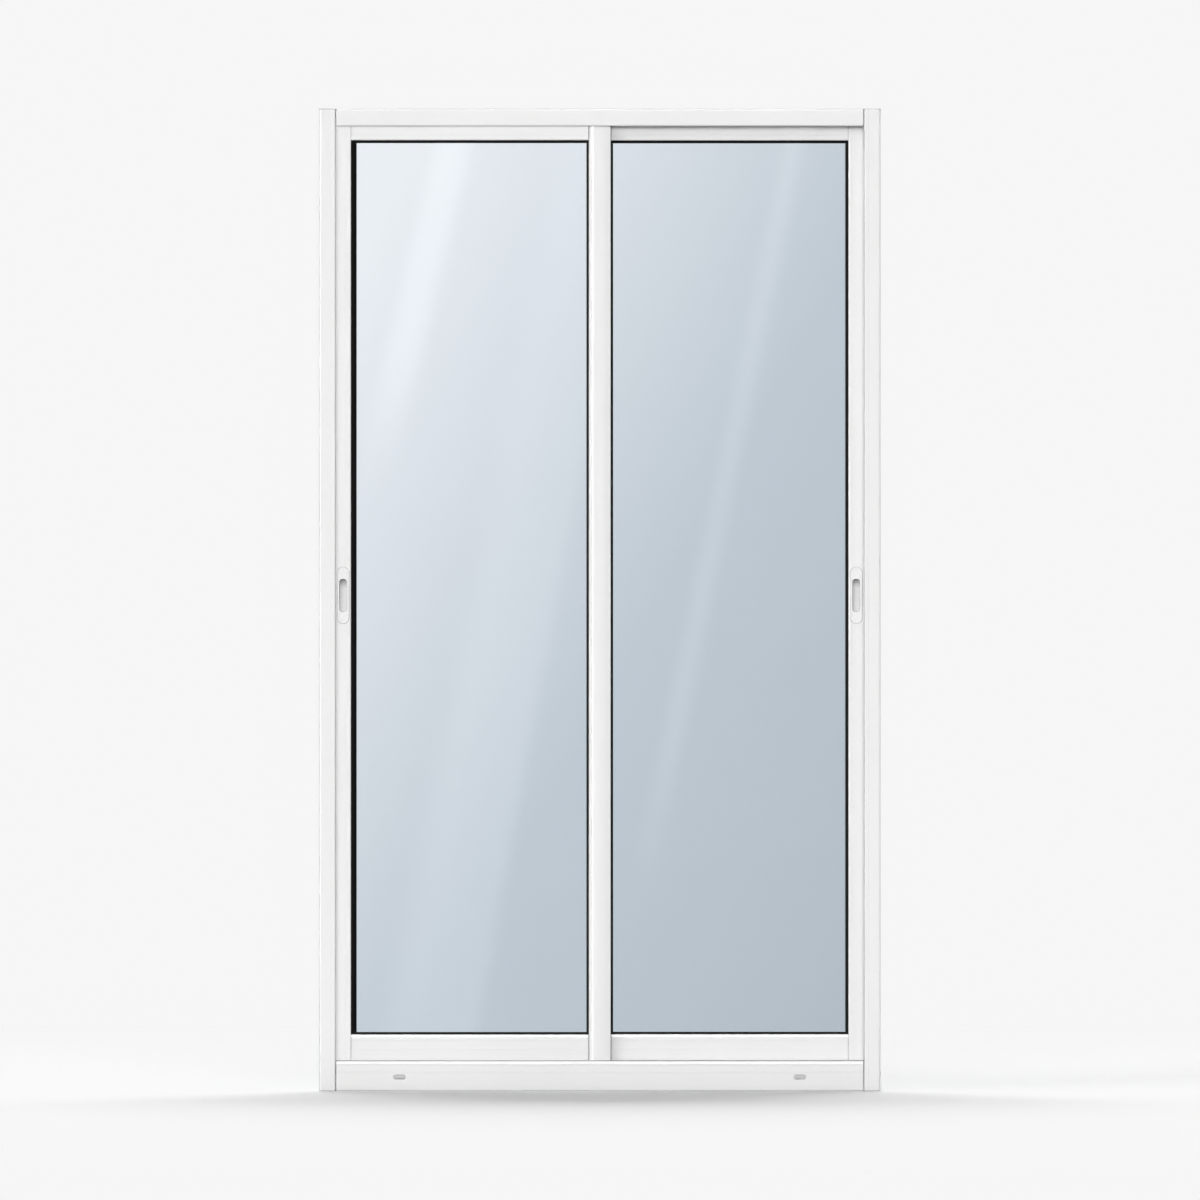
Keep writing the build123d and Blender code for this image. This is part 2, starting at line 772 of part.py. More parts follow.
# Flush pull: a thin plate with a finger cup behind it, one on each face of the outer stile
def make_pull(hand, side):
    plate_seat = face_plane(hand, pull_x, leaf_y + side * half_leaf, pull_height, side)
    front = plate_seat.offset(pull_plate_thickness)
    outward = Axis(plate_seat.origin, plate_seat.z_dir)
    with BuildPart() as pull:
        with BuildSketch(plate_seat):
            SlotOverall(pull_plate_length, pull_plate_width, rotation=90)
        extrude(amount=pull_plate_thickness, taper=pull_edge_slope)
        with BuildSketch(plate_seat):
            RectangleRounded(cup_width, cup_length, recess_corner + cup_wall)
        extrude(amount=pull_plate_thickness - recess_depth - cup_wall)
        with BuildSketch(front):
            RectangleRounded(recess_width, recess_length, recess_corner)
        extrude(amount=-recess_depth, mode=Mode.SUBTRACT)
        rim = pull.faces().sort_by(outward)[-1].inner_wires()[0].edges()
        chamfer(rim, recess_rim_bevel)
    return pull.part


# Guides: nylon saddles on both top corners of a leaf, which run between the head's hooks
def make_guides(hand):
    cheek = running_clearance - guide_play
    with BuildPart() as guides:
        guide_starts = (leaf_left + guide_inset, leaf_right - guide_inset - guide_length)
        for start in guide_starts:
            with BuildSketch(section_plane(hand, start)):
                with Locations((leaf_y, leaf_top - guide_cheek)):
                    Rectangle(
                        leaf_thickness + 2 * cheek,
                        guide_cheek + guide_cap,
                        align=(Align.CENTER, Align.MIN),
                    )
                    Rectangle(
                        leaf_thickness,
                        guide_cheek,
                        align=(Align.CENTER, Align.MIN),
                        mode=Mode.SUBTRACT,
                    )
            extrude(amount=guide_length)
    return guides.part


# Wheels and carriages in the bay under the bottom rail
wheel_places = (leaf_left + carriage_inset, leaf_right - carriage_inset)
axle_z = track_top + wheel_clearance + wheel_root
carriage_width = leaf_thickness - 2 * (slot_depth + slot_boss_wall + carriage_side_play)
wheel_slot_width = carriage_width - 2 * carriage_cheek
wheel_width = wheel_slot_width - 2 * wheel_side_play
carriage_bottom = axle_z - carriage_below_axle


def make_carriages(hand):
    with BuildPart() as carriages:
        with BuildSketch(floor_plane(hand).offset(carriage_bottom)):
            with Locations(*[(x, leaf_y) for x in wheel_places]):
                Rectangle(carriage_length, carriage_width)
        extrude(amount=wheel_bay_top - carriage_bottom)
        with BuildSketch(floor_plane(hand).offset(carriage_bottom)):
            with Locations(*[(x, leaf_y) for x in wheel_places]):
                Rectangle(wheel_slot_length, wheel_slot_width)
        extrude(amount=wheel_bay_top - wheel_slot_roof - carriage_bottom, mode=Mode.SUBTRACT)
        with BuildSketch(face_plane(hand, 0, leaf_y, axle_z, -1)):
            with Locations(*[(x, 0) for x in wheel_places]):
                Circle(axle_radius)
        extrude(amount=carriage_width / 2, both=True)
    return carriages.part


def make_wheels(hand):
    with BuildPart() as wheels:
        for x in wheel_places:
            axle = floor_plane(hand).from_local_coords((x, leaf_y, axle_z))
            with BuildSketch(section_plane(hand, x)):
                with BuildLine():
                    Polyline(
                        (leaf_y - wheel_width / 2, axle_z + axle_radius),
                        (leaf_y + wheel_width / 2, axle_z + axle_radius),
                        (leaf_y + wheel_width / 2, axle_z + wheel_radius),
                        (leaf_y + groove_root_half, axle_z + wheel_root),
                        (leaf_y - groove_root_half, axle_z + wheel_root),
                        (leaf_y - wheel_width / 2, axle_z + wheel_radius),
                        close=True,
                    )
                make_face()
            revolve(axis=Axis(axle, (0, 1, 0)))
    return wheels.part


for hand, leaf in ((LEFT, "left_leaf"), (RIGHT, "right_leaf")):
    save(make_outer_stile(hand), f"{leaf}_outer_stile")
    save(make_meeting_stile(hand), f"{leaf}_meeting_stile")
    save(make_top_rail(hand), f"{leaf}_top_rail")
    save(make_bottom_rail(hand), f"{leaf}_bottom_rail")
    save(make_interlock(hand), f"{leaf}_interlock")
    save(make_rail_pile(hand), f"{leaf}_rail_pile")
    save(make_meeting_pile(hand), f"{leaf}_meeting_pile")
    for side in (-1, 1):
        face_name = "front" if side * hand < 0 else "back"
        save(make_pane(hand, side), f"{leaf}_{face_name}_pane")
        save(make_gasket(hand, side), f"{leaf}_{face_name}_gasket")
        save(make_pull(hand, side), f"{leaf}_{face_name}_pull")
    outer_sight = spacer_sight_outer_left if hand == LEFT else spacer_sight_outer_right
    save(make_spacer(hand, outer_sight), f"{leaf}_spacer")
    save(make_setting_blocks(hand), f"{leaf}_setting_blocks")
    save(make_guides(hand), f"{leaf}_guides")
    save(make_carriages(hand), f"{leaf}_carriages")
    save(make_wheels(hand), f"{leaf}_wheels")
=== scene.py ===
import bpy
from math import pi, radians
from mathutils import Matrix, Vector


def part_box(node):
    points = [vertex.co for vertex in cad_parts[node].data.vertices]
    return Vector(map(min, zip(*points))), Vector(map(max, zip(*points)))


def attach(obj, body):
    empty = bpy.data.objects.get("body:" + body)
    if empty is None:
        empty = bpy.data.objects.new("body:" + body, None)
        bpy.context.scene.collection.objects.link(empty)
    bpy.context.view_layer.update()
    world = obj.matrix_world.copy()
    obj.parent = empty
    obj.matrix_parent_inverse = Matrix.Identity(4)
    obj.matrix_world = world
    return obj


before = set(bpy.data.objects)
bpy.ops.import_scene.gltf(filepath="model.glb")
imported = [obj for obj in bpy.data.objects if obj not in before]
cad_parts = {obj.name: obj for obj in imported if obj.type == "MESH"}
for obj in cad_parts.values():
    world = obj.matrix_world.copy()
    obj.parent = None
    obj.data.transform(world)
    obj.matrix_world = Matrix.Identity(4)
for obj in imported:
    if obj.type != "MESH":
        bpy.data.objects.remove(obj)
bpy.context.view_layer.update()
bpy.ops.object.select_all(action="DESELECT")


# Outer frame: two jambs, a head and a sill
# Extruded aluminium with a white satin powder coat, which leaves a fine orange-peel surface.
# Sawn ends butt against the jambs' webs and are pulled up by screws in the head's and sill's ports.

class Wire:
    """A shader socket that sums can be written on. Each sum adds its Math node."""

    def __init__(self, finish, socket):
        self.finish = finish
        self.socket = socket

    def sum_up(self, operation, first, second=0.0):
        return self.finish.node("ShaderNodeMath", {"operation": operation}, {0: first, 1: second})

    def __add__(self, other):
        return self.sum_up("ADD", self, other)

    def __radd__(self, other):
        return self.sum_up("ADD", other, self)

    def __sub__(self, other):
        return self.sum_up("SUBTRACT", self, other)

    def __rsub__(self, other):
        return self.sum_up("SUBTRACT", other, self)

    def __mul__(self, other):
        return self.sum_up("MULTIPLY", self, other)

    def __rmul__(self, other):
        return self.sum_up("MULTIPLY", other, self)

    def __truediv__(self, other):
        return self.sum_up("DIVIDE", self, other)

    def __lt__(self, other):
        return self.sum_up("LESS_THAN", self, other)

    def __abs__(self):
        return self.sum_up("ABSOLUTE", self)

    def fraction(self):
        return self.sum_up("FRACT", self)


class Finish:
    """A procedural finish that is being mixed, on a material or on the world."""

    def __init__(self, name, owner=None):
        self.owner = owner or bpy.data.materials.new(name)
        self.owner.use_nodes = True
        self.tree = self.owner.node_tree
        self.tree.nodes.clear()

    def node(self, kind, settings=None, sockets=None, result=0):
        """Adds a node: its settings first, then a value or a link for each socket."""
        made = self.tree.nodes.new(kind)
        for name, value in (settings or {}).items():
            setattr(made, name, value)
        for name, value in (sockets or {}).items():
            if isinstance(value, Wire):
                self.tree.links.new(value.socket, made.inputs[name])
            else:
                made.inputs[name].default_value = value
        return Wire(self, made.outputs[result]) if made.outputs else None

    def place(self):
        """The point on the piece, in metres."""
        return self.node("ShaderNodeTexCoord", result="Object")

    def axis(self, letter):
        return self.node("ShaderNodeSeparateXYZ", {}, {"Vector": self.place()}, letter.upper())

    def grain(self, size, detail=2.0, shift=0.0):
        """Noise from 0 to 1 whose lumps are about this size, in metres."""
        point = self.node("ShaderNodeMapping", {}, {
            "Vector": self.place(), "Location": (shift,) * 3, "Scale": (1 / size,) * 3})
        return self.node("ShaderNodeTexNoise", {}, {"Vector": point, "Scale": 1.0, "Detail": detail})

    def blend(self, part, first, second):
        """A colour between two, by a share from 0 to 1."""
        return self.node("ShaderNodeMix", {"data_type": "RGBA"}, {
            0: part, 6: first, 7: second}, 2)

    def bump(self, height, depth, strength, **more):
        """The surface's direction over a height of this depth, in metres."""
        return self.node("ShaderNodeBump", {}, {
            "Height": height, "Distance": depth, "Strength": strength, **more})

    def ramp(self, value, low, high, start=0.0, end=1.0, smooth=True):
        """A value that runs from start to end while another runs from low to high."""
        return self.node("ShaderNodeMapRange", {
            "interpolation_type": "SMOOTHSTEP" if smooth else "LINEAR", "clamp": True}, {
            "Value": value, "From Min": low, "From Max": high, "To Min": start, "To Max": end})

    def rounded(self, radius):
        """The surface's direction, turning softly over this radius at each edge."""
        return self.node("ShaderNodeBevel", {"samples": 6}, {"Radius": radius})

    def edge(self, radius, least, most):
        """1 on sharp edges, where a softly turning direction leaves the face's own."""
        facing = self.node("ShaderNodeNewGeometry", result="Normal")
        kept = self.node("ShaderNodeVectorMath", {"operation": "DOT_PRODUCT"}, {
            0: self.rounded(radius), 1: facing}, "Value")
        return self.ramp(1.0 - kept, least, most)

    def coat(self, **sockets):
        """Ends the finish with its surface shader."""
        named = {name.replace("_", " "): value for name, value in sockets.items()}
        shader = self.node("ShaderNodeBsdfPrincipled", {}, named)
        self.node_out(shader)
        return self.owner

    def node_out(self, shader):
        kind = "World" if isinstance(self.owner, bpy.types.World) else "Material"
        self.node(f"ShaderNodeOutput{kind}", {}, {"Surface": shader})


def grey(level, warm=0.0):
    """A near-neutral colour in linear light."""
    return (level + warm, level, level - warm, 1.0)


edge_turn = 0.004
peel_size = 0.0022
peel_depth = 0.00005
cloud_size = 0.11
speck_size = 0.0006
satin_rough = 0.16
duller_white = grey(0.80)
brighter_white = grey(0.835, 0.002)


def powder_coat(name, edge_start, edge_end, painted_edge_shade):
    """The white coat, with painted shade on its edges: an edge mask grows from start to end and
    darkens the coat to a darker grey, drawing dark outlines.
    """
    finish = Finish(name)
    peel = finish.grain(peel_size, detail=1.0)
    cloud = finish.grain(cloud_size, detail=3.0)
    speck = finish.grain(speck_size, detail=0.0, shift=3.0)
    flat = finish.blend(cloud * 0.6 + speck * 0.4, duller_white, brighter_white)
    # Painted shade: the edge mask darkens the coat where its faces turn away.
    edge = finish.edge(edge_turn, edge_start, edge_end)
    return finish.coat(
        Base_Color=finish.blend(edge, flat, grey(painted_edge_shade)),
        Roughness=satin_rough + 0.05 * cloud,
        Specular_IOR_Level=0.5,
        Normal=finish.bump(peel, peel_depth, 0.6, Normal=finish.rounded(edge_turn)))


def dress(finish, *nodes):
    """Gives carried-over nodes their finish."""
    for name in nodes:
        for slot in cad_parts[name].material_slots:
            slot.material = finish


paint_round = 0.0003
weld_reach = 0.000001


def ease_edges(*nodes):
    """Joins the loose triangles for the render and rounds the sharp edges as paint does."""
    for name in nodes:
        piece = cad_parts[name]
        weld = piece.modifiers.new("join", "WELD")
        weld.merge_threshold = weld_reach
        flat = piece.modifiers.new("flatten", "DECIMATE")
        flat.decimate_type = "DISSOLVE"
        flat.angle_limit = radians(0.4)
        ease = piece.modifiers.new("ease", "BEVEL")
        ease.width = paint_round
        ease.segments = 2
        ease.limit_method = "ANGLE"
        ease.angle_limit = radians(50)
        shade = piece.modifiers.new("shade", "WEIGHTED_NORMAL")
        shade.keep_sharp = True


# The frame's coat carries painted shade along its edges, as dark outlines and joint lines.
frame_coating = powder_coat(
    "white_frame_coating", edge_start=0.08, edge_end=0.17, painted_edge_shade=0.14)
frame_pieces = ("left_jamb", "right_jamb", "head", "sill")
dress(frame_coating, *frame_pieces)
ease_edges(*frame_pieces)


# Corner screws of the outer frame
# Zinc-plated pan-head tapping screws with a cross recess, 4.8 mm in the thread.
# Two at each corner go through the jamb's web into the ports of the head and the sill.

screw_head = 0.0040
screw_rise = 0.0009
screw_dome = screw_rise * 0.6
recess_width = 0.0009
recess_chamfer = 0.00015
screw_port_y = 0.012
screw_levels = (0.03755, 2.09555)
zinc_cloud = 0.0012


def bright_zinc():
    finish = Finish("bright_zinc_plating")
    cloud = finish.grain(zinc_cloud, detail=3.0)
    return finish.coat(
        Base_Color=finish.blend(cloud, grey(0.55, -0.01), grey(0.72, -0.005)),
        Metallic=1.0,
        Roughness=0.24 + 0.16 * cloud,
        Normal=finish.bump(cloud, 0.00002, 0.5))


def model_screw(name):
    """Models one low head standing on the origin, domed, with a cross recess cut in its top."""
    bpy.ops.object.select_all(action="DESELECT")
    bpy.ops.mesh.primitive_cylinder_add(
        vertices=32, radius=screw_head, depth=screw_rise, location=(0, 0, screw_rise / 2))
    head = bpy.context.object
    head.name = name
    bpy.ops.object.transform_apply()
    bpy.ops.object.mode_set(mode="EDIT")
    bpy.ops.mesh.select_mode(type="FACE")
    bpy.ops.mesh.select_all(action="DESELECT")
    bpy.ops.object.mode_set(mode="OBJECT")
    for face in head.data.polygons:
        face.select = face.normal.z > 0.9
    bpy.ops.object.mode_set(mode="EDIT")
    bpy.ops.mesh.region_to_loop()
    bpy.ops.mesh.bevel(offset=screw_dome, segments=4, profile=0.5, clamp_overlap=True)
    bpy.ops.object.mode_set(mode="OBJECT")
    cutters = []
    for turn in (0, pi / 2):
        bpy.ops.mesh.primitive_cube_add(size=1, location=(0, 0, screw_rise), rotation=(0, 0, turn))
        blade = bpy.context.object
        blade.scale = (screw_head * 1.1, recess_width, screw_rise)
        bpy.ops.object.transform_apply()
        bpy.ops.object.mode_set(mode="EDIT")
        bpy.ops.mesh.select_all(action="SELECT")
        bpy.ops.mesh.bevel(offset=recess_chamfer, segments=1)
        bpy.ops.object.mode_set(mode="OBJECT")
        cutters.append(blade)
    bpy.ops.object.select_all(action="DESELECT")
    bpy.context.view_layer.objects.active = head
    for blade in cutters:
        recess = head.modifiers.new("recess", "BOOLEAN")
        recess.object = blade
        recess.solver = "EXACT"
        bpy.ops.object.modifier_apply(modifier="recess")
        bpy.data.objects.remove(blade)
    head.select_set(True)
    bpy.ops.object.shade_smooth_by_angle(angle=radians(35))
    return head


def copy_screw(pattern, name, side, place):
    """Copies the screw and turns it to stand on a jamb's web, facing out of the door."""
    bpy.ops.object.select_all(action="DESELECT")
    pattern.select_set(True)
    bpy.context.view_layer.objects.active = pattern
    bpy.ops.object.duplicate(linked=False)
    screw = bpy.context.object
    screw.name = name
    screw.rotation_euler = (0, side * pi / 2, 0)
    screw.location = place
    bpy.ops.object.transform_apply()
    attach(screw, "frame")


first_screw = model_screw("first_screw")
first_screw.data.materials.append(bright_zinc())
number = 0
for side, web in ((-1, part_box("left_jamb")[0][0]), (1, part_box("right_jamb")[1][0])):
    for level in screw_levels:
        for port_y in (-screw_port_y, screw_port_y):
            number += 1
            copy_screw(first_screw, f"corner_screw_{number}", side, (web, port_y, level))
bpy.data.objects.remove(first_screw)


# Weep covers
# Small clipped covers in a greyer white, one in each drain slot on the sill's face.
# Moulded in plastic, with a fine spark-eroded surface and a slit along the foot.

spark_pit = 0.0005
spark_depth = 0.00004
plastic_cloud = 0.02


def moulded_plastic(name, low, high, rough):
    """Plastic between two colours, with spark-eroded pits."""
    finish = Finish(name)
    pits = finish.grain(spark_pit)
    cloud = finish.grain(plastic_cloud)
    return finish.coat(
        Base_Color=finish.blend(cloud, low, high),
        Roughness=rough + 0.08 * pits,
        Specular_IOR_Level=0.4,
        Normal=finish.bump(pits, spark_depth, 0.7))


cover_plastic = moulded_plastic(
    "grey_white_cover_plastic", low=grey(0.55), high=grey(0.60), rough=0.5)
dress(cover_plastic, "left_weep_cover", "right_weep_cover")


# Pile seals
# Woven polypropylene pile, grey, on a stiff backing strip that slides into a slot.
# The jambs, the leaves' rails and the meeting stiles each carry a length of it.

pile_fibre = 0.00035
pile_tuft = 0.0016
pile_depth = 0.0004


def woven_pile():
    finish = Finish("grey_woven_pile")
    fibre = finish.grain(pile_fibre, detail=1.0)
    tuft = finish.grain(pile_tuft, shift=5.0)
    return finish.coat(
        Base_Color=finish.blend(
            fibre * 0.7 + tuft * 0.3, grey(0.16, -0.004), grey(0.42, -0.004)),
        Roughness=0.88,
        Specular_IOR_Level=0.2,
        Normal=finish.bump(fibre, pile_depth, 0.9))


pile = woven_pile()
dress(pile, "left_jamb_pile", "right_jamb_pile")


# Buffers and open stops
# Black rubber buffers in the jambs, where a leaf closes, and white nylon stops under the head,
# where an opened leaf comes to rest.

rubber_bloom = 0.03
rubber_skin = 0.0007
rubber_depth = 0.00003


def extruded_rubber():
    finish = Finish("black_rubber")
    bloom = finish.grain(rubber_bloom, detail=4.0)
    skin = finish.grain(rubber_skin, detail=1.0)
    return finish.coat(
        Base_Color=finish.blend(bloom, grey(0.003), grey(0.007)),
        Roughness=0.55 + 0.18 * bloom,
        Specular_IOR_Level=0.12,
        Normal=finish.bump(skin, rubber_depth, 0.5))


rubber = extruded_rubber()
white_plastic = moulded_plastic(
    "white_nylon", low=grey(0.74, 0.004), high=grey(0.79, 0.004), rough=0.42)
dress(rubber, "left_jamb_buffers", "right_jamb_buffers")
dress(white_plastic, "front_open_stop", "rear_open_stop")


# The two sliding leaves: stiles and rails
# Hollow aluminium extrusions in the same white coat. The rails are coped over the stiles, with a
# hairline joint at each corner; the stiles' sight lines are rounded and the meeting stiles crowned.

leaves = ("left_leaf", "right_leaf")
leaf_plane = 0.022
# The leaves' coat carries painted shade along its edges too, a little lighter than the frame's.
leaf_coating = powder_coat("white_leaf_coating", edge_start=0.09, edge_end=0.24, painted_edge_shade=0.20)
for leaf in leaves:
    parts = ("outer_stile", "top_rail", "bottom_rail", "interlock")
    members = [f"{leaf}_{part}" for part in parts]
    dress(leaf_coating, *members, f"{leaf}_meeting_stile")
    ease_edges(*members)
    dress(pile, f"{leaf}_rail_pile", f"{leaf}_meeting_pile")


# Sealed glazing units: panes, spacers and setting blocks
# Two 4 mm panes of float glass with a pale blue tint, on a dark anodised spacer whose perforation
# towards the cavity is painted on as near-black dots, painted shade for the holes. Each unit stands on
# two plastic setting blocks.

glass_tint = (0.78, 0.83, 0.875, 1.0)
glass_deeper_tint = tuple(0.985 * part for part in glass_tint[:3]) + (1.0,)
glass_haze = 0.35


def float_glass():
    finish = Finish("pale_float_glass")
    haze = finish.grain(glass_haze)
    return finish.coat(
        Base_Color=finish.blend(haze, glass_tint, glass_deeper_tint),
        Roughness=0.0,
        IOR=1.5,
        Transmission_Weight=1.0)


hole_pitch = 0.0025
hole_share = 0.12
hole_row = 0.002
hole_half = 0.0003
spacer_rub = 0.004


def spacer_metal():
    finish = Finish("dark_anodised_spacer")
    along = finish.axis("x") + finish.axis("z")
    across = abs(abs(finish.axis("y")) - leaf_plane)
    in_step = abs((along / hole_pitch).fraction() - 0.5) < hole_share
    # Painted shade: the holes are near-black dots in the colour, not cut.
    painted_hole_shade = in_step * (abs(across - hole_row) < hole_half)
    rub = finish.grain(spacer_rub)
    return finish.coat(
        Base_Color=finish.blend(painted_hole_shade, finish.blend(rub, grey(0.035), grey(0.05)), grey(0.004)),
        Metallic=0.5,
        Roughness=0.45 + 0.1 * rub,
        Normal=finish.bump(rub, 0.00002, 0.5))


glass = float_glass()
spacer_finish = spacer_metal()
block_plastic = moulded_plastic(
    "grey_block_plastic", low=grey(0.20), high=grey(0.25), rough=0.55)
for leaf in leaves:
    dress(glass, f"{leaf}_front_pane", f"{leaf}_back_pane")
    dress(spacer_finish, f"{leaf}_spacer")
    dress(block_plastic, f"{leaf}_setting_blocks")
    dress(rubber, f"{leaf}_front_gasket", f"{leaf}_back_gasket")


# Flush pulls
# Die-cast finger pulls painted white, semi-gloss, one on each side of each outer stile.
# The plate's rim is bevelled and a deep slot with round ends is let into the stile.

cup_face = 0.0128
rim_face = 0.0144
cup_light_end = 1.074
cup_dark_start = 1.094
pull_turn = 0.0015
paint_flow = 0.004


def gloss_paint():
    """White paint with painted shade: greyer on the bevelled rim and in the cup, and a painted shadow
    that darkens the cup under its top end.
    """
    finish = Finish("white_gloss_paint")
    flow = finish.grain(paint_flow, detail=1.0)
    depth = abs(abs(finish.axis("y")) - leaf_plane)
    # Painted shade: the cup and the rim's bevel are greyed as if shaded, and the cup darkens under its
    # top end as a painted shadow.
    cup = depth < cup_face
    rim = depth < rim_face
    painted_shadow_under_top = finish.ramp(finish.axis("z"), cup_light_end, cup_dark_start)
    plate = finish.blend(rim, finish.blend(flow, grey(0.80), grey(0.83)), grey(0.36))
    shade = finish.blend(painted_shadow_under_top, grey(0.67), grey(0.32))
    return finish.coat(
        Base_Color=finish.blend(cup, plate, shade),
        Roughness=0.24 + 0.06 * flow,
        Specular_IOR_Level=0.5,
        Normal=finish.bump(flow, 0.00002, 0.5, Normal=finish.rounded(pull_turn)))


pull_paint = gloss_paint()
for leaf in leaves:
    dress(pull_paint, f"{leaf}_front_pull", f"{leaf}_back_pull")


# Guides, carriages and wheels
# Grey plastic guides ride on the head's fins. Below, die-cast carriages in the bottom rail carry
# grooved nylon wheels that run on the sill's beaded tracks.

casting_cloud = 0.006
casting_depth = 0.00008


def die_cast():
    finish = Finish("dull_die_casting")
    cloud = finish.grain(casting_cloud, detail=4.0)
    return finish.coat(
        Base_Color=finish.blend(cloud, grey(0.42, -0.004), grey(0.58, -0.004)),
        Metallic=0.9,
        Roughness=0.42 + 0.15 * cloud,
        Normal=finish.bump(cloud, casting_depth, 0.6))


casting = die_cast()
guide_plastic = moulded_plastic(
    "grey_guide_plastic", low=grey(0.30), high=grey(0.36), rough=0.5)
wheel_nylon = moulded_plastic(
    "off_white_nylon", low=grey(0.62, 0.01), high=grey(0.68, 0.01), rough=0.38)
for leaf in leaves:
    dress(guide_plastic, f"{leaf}_guides")
    dress(casting, f"{leaf}_carriages")
    dress(wheel_nylon, f"{leaf}_wheels")


# Surround
# A pale, even surround. The camera, mirrored rays and rays through the glass see it at one level.
# As light it is dim near the ground and brighter overhead, like a plain studio's ceiling.

surround = 0.922
low_sky = 0.08
high_sky = 0.34


def light_path(finish, kind):
    return finish.node("ShaderNodeLightPath", result=kind)


def seen_directly(finish):
    """1 for what the camera sees, straight, mirrored or through the glass, and 0 for falling light."""
    looks = light_path(finish, "Is Camera Ray") + light_path(finish, "Is Glossy Ray")
    looks = looks + light_path(finish, "Is Transmission Ray")
    first = light_path(finish, "Diffuse Depth") < 0.5
    return finish.node("ShaderNodeClamp", {}, {"Value": looks}) * first


sky = Finish("surround", bpy.data.worlds.new("surround"))
bpy.context.scene.world = sky.owner
direction = sky.node("ShaderNodeTexCoord", result="Generated")
height = sky.node("ShaderNodeSeparateXYZ", {}, {"Vector": direction}, "Z")
falling = sky.ramp(height, 0.0, 1.0, low_sky, high_sky, smooth=False)
seen = seen_directly(sky)
sky.node_out(sky.node("ShaderNodeBackground", {}, {
    "Color": grey(1.0), "Strength": falling * (1.0 - seen) + surround * seen}))


# Floor
# A plain pale floor that keeps the door's soft shadow and runs out to the surround. Under the shadow
# it is a little paler, painted light that lifts the shadow. It throws less light back than it shows:
# none close to the sill, as painted shade on the sill's foot, and little far out.

floor_size = 400
floor_shade = 1.27
painted_shadow_lift = 1.37
foot_depth = (0.7, 2.3)
foot_width = (0.45, 0.75)
floor_bounce = 0.60
bounce_near = (0.03, 0.17)
bounce_far = (1.5, 3.5)
far_share = 0.25
floor_fade = (4.0, 12.0)

bpy.ops.object.select_all(action="DESELECT")
bpy.ops.mesh.primitive_plane_add(size=floor_size, location=(0, 0, 0))
floor = bpy.context.object
floor.name = "studio_floor"
ground = Finish("pale_floor")
seen = seen_directly(ground)
off = abs(ground.axis("y"))
aside = abs(ground.axis("x"))
near = ground.ramp(off, *bounce_near) * ground.ramp(off, *bounce_far, 1.0, far_share)
bounce = ground.blend(near, grey(0.0), grey(floor_bounce))
# Painted light: a patch at the door's foot, where the shadow falls, is painted paler.
foot = ground.ramp(off, *foot_depth, 1.0, 0.0) * ground.ramp(aside, *foot_width, 1.0, 0.0)
pale = ground.blend(foot, grey(floor_shade), grey(painted_shadow_lift))
lit = ground.node("ShaderNodeBsdfDiffuse", {}, {"Color": ground.blend(seen, bounce, pale)})
plain = ground.node("ShaderNodeEmission", {}, {"Color": grey(1.0), "Strength": surround})
away = ground.node("ShaderNodeVectorMath", {"operation": "LENGTH"}, {0: ground.place()}, "Value")
ground.node_out(ground.node("ShaderNodeMixShader", {}, {
    0: seen * ground.ramp(away, *floor_fade), 1: lit, 2: plain}))
floor.data.materials.append(ground.owner)


# Cards in front of the door and behind it
# They stand in for a room, and the camera doesn't see them. Only mirrored rays see the front card,
# with its slanted streaks of light, and only rays through the glass the back one, with its glow.

camera_distance = 80.0
view_level = 1.05
card_distance = 1.5
card_size = (8.0, 6.0, 1.0)


def card_finish(name, distance):
    """A card's finish, and the pane's own x and z that each of its points lies behind or before."""
    finish = Finish(name)
    spread = 1 + distance / camera_distance
    pane_x = finish.axis("x") / spread
    pane_z = view_level + (finish.axis("z") - view_level) / spread
    return finish, pane_x, pane_z


def put_card(name, y, fade, finish, colour, level, unseen):
    """Stands a card up, glowing in a colour at a level, which fades to the surround at its sides."""
    bpy.ops.object.select_all(action="DESELECT")
    middle = card_size[1] / 2
    bpy.ops.mesh.primitive_plane_add(size=1, location=(0, y, middle), rotation=(pi / 2, 0, 0))
    card = bpy.context.object
    card.name = name
    card.scale = card_size
    bpy.ops.object.transform_apply()
    edge = finish.ramp(abs(finish.axis("x")), *fade)
    finish.node_out(finish.node("ShaderNodeEmission", {}, {
        "Color": finish.blend(edge, colour, grey(1.0)),
        "Strength": (level * (1.0 - edge) + surround * edge) * seen_directly(finish)}))
    finish.owner.cycles.emission_sampling = "NONE"
    card.data.materials.append(finish.owner)
    card.visible_camera = card.visible_diffuse = card.visible_shadow = False
    setattr(card, f"visible_{unseen}", False)
    return card


mirrored, mirror_x, mirror_z = card_finish("mirrored_streaks", card_distance)
room_level = 0.15


def from_slant(lean, level, across):
    """How far a point is to the right of a leaning line, which passes across at this level."""
    return mirror_x + lean * (level - mirror_z) - across


def by_height(low, high, start, end):
    return mirrored.ramp(mirror_z, low, high, start, end)


# The flare stands in the left pane's upper left and grows towards the top.
broad = abs(from_slant(lean=0.2375, level=1.99, across=-0.320))
flare = (1.0 - mirrored.ramp(broad, 0.01, 0.065)) * by_height(1.25, 1.6, 0.0, 1.7)
# The wide band runs down the left pane, soft on its left, clear on its right, brightest below.
soft_side = mirrored.ramp(from_slant(lean=0.199, level=2.022, across=-0.0593), -0.07, 0.03)
clear_side = 1.0 - mirrored.ramp(from_slant(lean=0.185, level=1.296, across=-0.0723), 0.0, 0.05)
in_left_pane = mirror_x < -0.02
band = soft_side * clear_side * by_height(0.5, 1.7, 1.3, 0.7) * in_left_pane
# The narrow streak runs down the right pane and fades out towards the foot.
narrow = abs(from_slant(lean=0.2038, level=1.98, across=0.406))
streak = (1.0 - mirrored.ramp(narrow, 0.0, 0.045)) * by_height(0.35, 0.8, 0.0, 1.1)
front_card = put_card(
    "mirrored_card", -card_distance, fade=(0.8, 2.2), finish=mirrored,
    colour=grey(1.0), level=room_level + flare + band + streak, unseen="transmission")

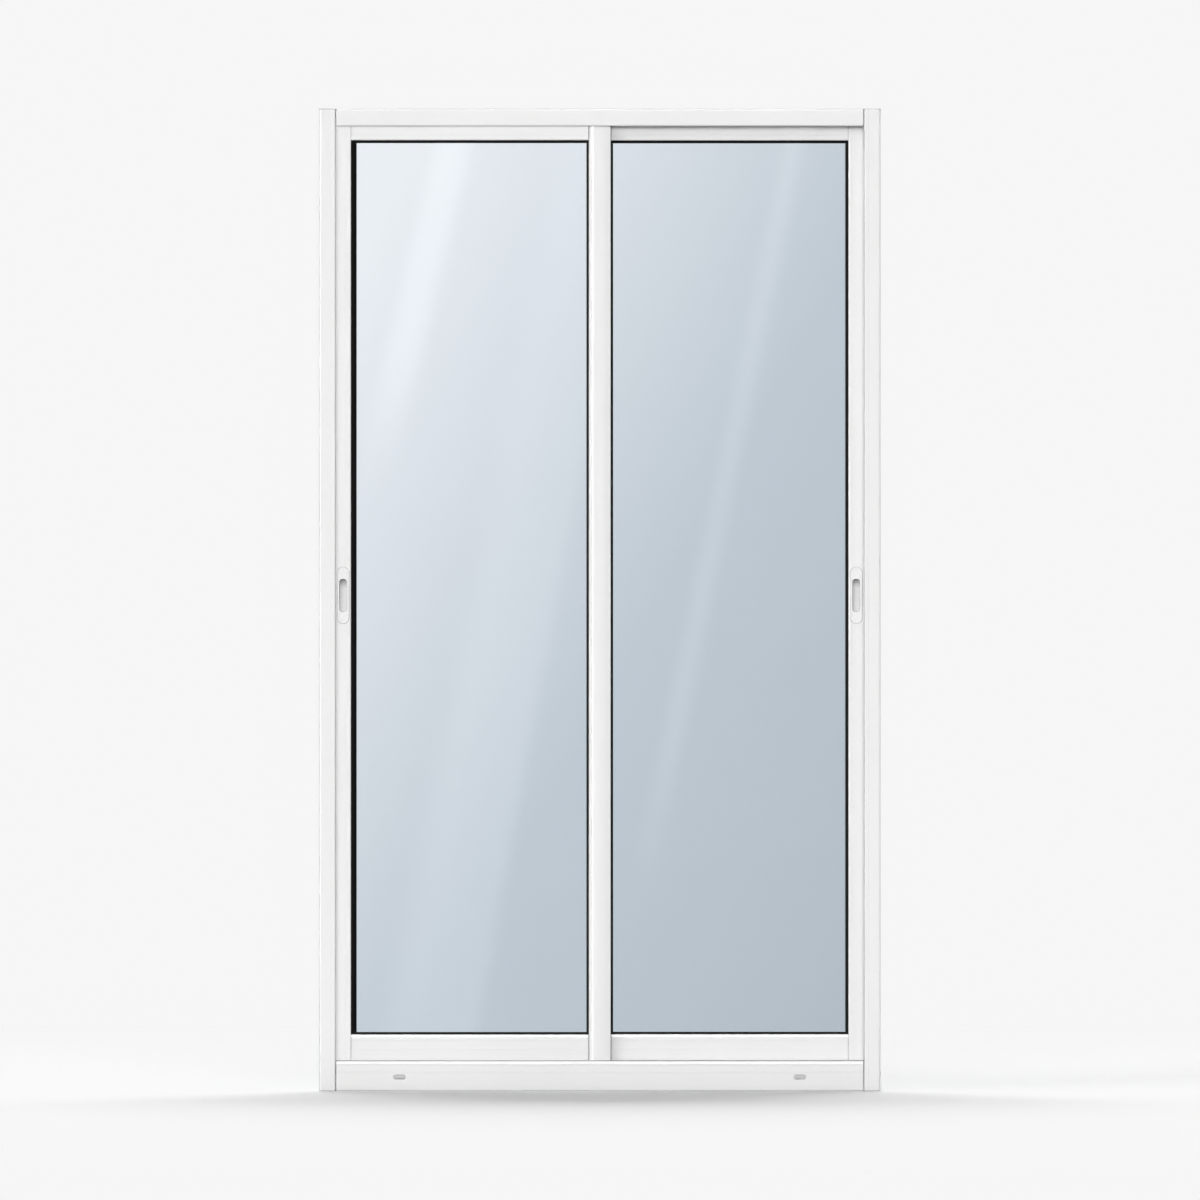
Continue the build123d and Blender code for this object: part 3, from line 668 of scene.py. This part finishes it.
# Behind the glass it grows brighter and warmer towards the upper left.
cool_glow = grey(0.88)
warm_glow = (1.48, 1.36, 1.28, 1.0)
backdrop, back_x, back_z = card_finish("backdrop_glow", -card_distance)
slope = back_z - 1.8 * (back_x + 0.5)
glow = backdrop.blend(backdrop.ramp(slope, -0.1, 1.9, smooth=False), cool_glow, warm_glow)
back_card = put_card(
    "backdrop_card", card_distance, fade=(0.6, 1.2), finish=backdrop, colour=glow,
    level=backdrop.ramp(slope, -1.8, -0.1, 0.85, 1.0, smooth=False), unseen="glossy")


# Suns
# Five broad suns light the door from in front and from behind, and nothing mirrors them.
# Two more only gleam: on the meeting stiles' crowns from the left, on rounded edges from above.

def add_sun(name, power, across, height, softness, lights=True, gleams=False):
    """A broad sun: across is its turn from straight in front, to the left, and height its angle
    above level. One that lights isn't mirrored, and one that only gleams shows in the gloss alone."""
    bpy.ops.object.light_add(type="SUN", location=(0, 0, 4))
    lamp = bpy.context.object
    lamp.name = name
    lamp.data.energy = power
    lamp.data.angle = radians(softness)
    lamp.rotation_euler = (radians(90 - height), 0, radians(-across))
    lamp.visible_diffuse = lights
    lamp.visible_glossy = gleams
    lamp.visible_transmission = False


add_sun("front_sun", power=1.83, across=0, height=5, softness=14)
add_sun("key_sun", power=1.0, across=28, height=8, softness=30)
add_sun("top_sun", power=0.15, across=1, height=34, softness=20)
add_sun("back_sun", power=1.65, across=180, height=38, softness=36)
add_sun("rear_fill", power=1.3, across=180, height=5, softness=30)
add_sun("left_gleam", power=4.0, across=29, height=2, softness=16, lights=False, gleams=True)
add_sun("top_gleam", power=2.4, across=0, height=33, softness=16, lights=False, gleams=True)


# Camera
# A long lens far in front of the door, level with its middle height, as the photograph shows it:
# straight on, with parallel edges. The picture is a little over twice as wide as the door.

camera_side = 0.0005
frame_front = -0.045
picture_width = 2.565
sensor_width = 36.0

bpy.ops.object.camera_add(location=(camera_side, frame_front - camera_distance, view_level),
                          rotation=(pi / 2, 0, 0))
camera = bpy.context.object
camera.data.sensor_width = sensor_width
camera.data.lens = sensor_width * camera_distance / picture_width
camera.data.clip_end = 500.0
bpy.context.scene.camera = camera
bpy.context.scene.view_settings.view_transform = "Standard"
